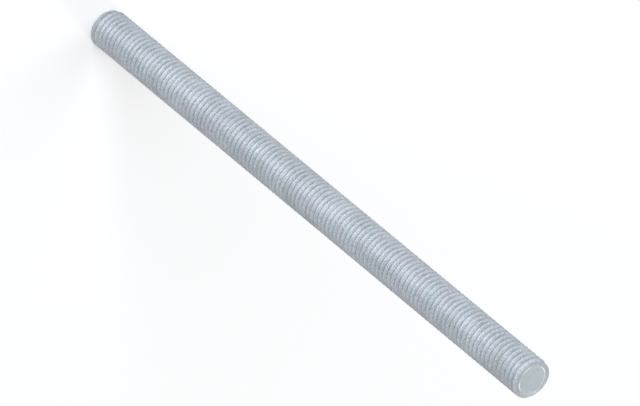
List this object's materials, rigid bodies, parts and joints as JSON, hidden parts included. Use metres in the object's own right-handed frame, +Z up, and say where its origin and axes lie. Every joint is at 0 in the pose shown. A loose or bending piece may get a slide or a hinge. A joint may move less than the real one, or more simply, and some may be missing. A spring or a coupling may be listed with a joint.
{
  "type": "threaded rod",
  "caption": "Straight steel rod threaded along its whole length, with chamfered ends, to clamp, hang or join parts with nuts.",
  "frame": {"origin": "middle of the flat end face that the rod stands on", "axes": "+Z up along the rod's axis; the thread is right-hand and both ends are alike, so any direction round the axis can be +X"},
  "size_m": [0.01, 0.01, 0.1675],
  "materials": {
    "zinc_plated_steel": "satin zinc plating with a faint blue cast, darker in the thread's roots"
  },
  "bodies": {
    "root": {"threaded_rod": "zinc_plated_steel"}
  },
  "joints": []
}
